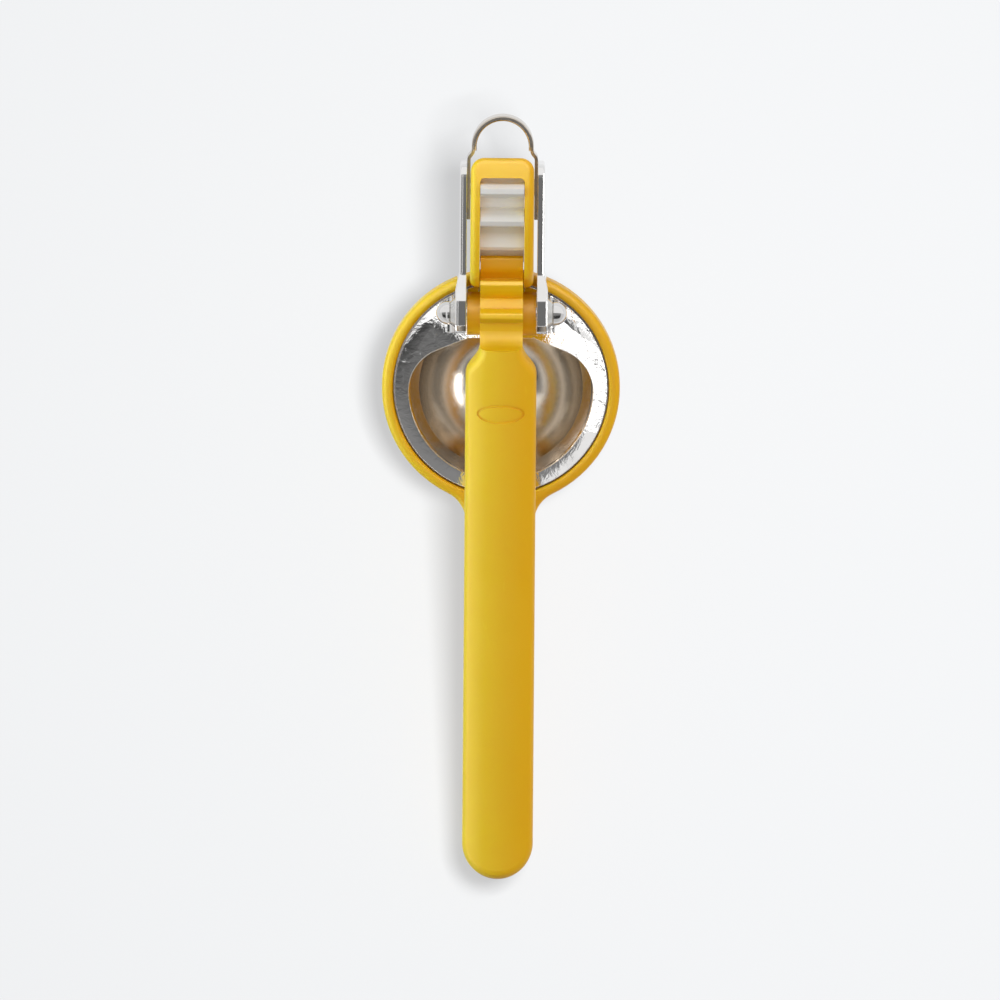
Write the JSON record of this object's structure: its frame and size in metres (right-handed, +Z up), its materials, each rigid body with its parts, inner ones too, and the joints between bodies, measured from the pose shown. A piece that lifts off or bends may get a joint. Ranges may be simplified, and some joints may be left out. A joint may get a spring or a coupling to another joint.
{
  "type": "hinged lemon squeezer",
  "caption": "Hinged citrus squeezer with geared handles: a concave press swings into a perforated bowl held in a ring.",
  "frame": {"origin": "centre of the bottom of the bounding box, on the surface the closed tool lies on", "axes": "+Z up, +Y along the tool towards the hinge and hanging loop, +X across, along the hinge pins"},
  "size_m": [0.08, 0.257, 0.076],
  "materials": {
    "yellow_nylon": "satin moulded nylon, lemon yellow",
    "white_acetal": "smooth white acetal",
    "polished_steel": "mirror-polished stainless steel",
    "satin_steel": "satin stainless steel"
  },
  "bodies": {
    "lower_body": {"lower_body": "yellow_nylon", "strainer_bowl": "satin_steel", "sun_gear": "white_acetal", "gear_dowels": "satin_steel"},
    "press": {"press_dish": "polished_steel", "hanging_loop": "polished_steel", "main_pivot_pin": "satin_steel", "handle_pivot_pin": "polished_steel", "handle_pin_cap": "polished_steel", "pin_collar_left": "satin_steel", "pin_collar_right": "satin_steel"},
    "upper_handle": {"upper_handle": "yellow_nylon", "handle_bush": "satin_steel"}
  },
  "joints": [
    {"name": "press_hinge", "type": "hinge", "parent": "lower_body", "child": "press", "pos_m": [0, 0.10406, 0.05064], "axis": [-1, 0, 0], "range_deg": [0, 55]},
    {"name": "handle_hinge", "type": "hinge", "parent": "press", "child": "upper_handle", "pos_m": [0, 0.0615, 0.0455], "axis": [-1, 0, 0], "range_deg": [0, 59.23]}
  ],
  "couplings": [
    {"joint": "handle_hinge", "follows": "press_hinge", "ratio": 1.0769}
  ]
}
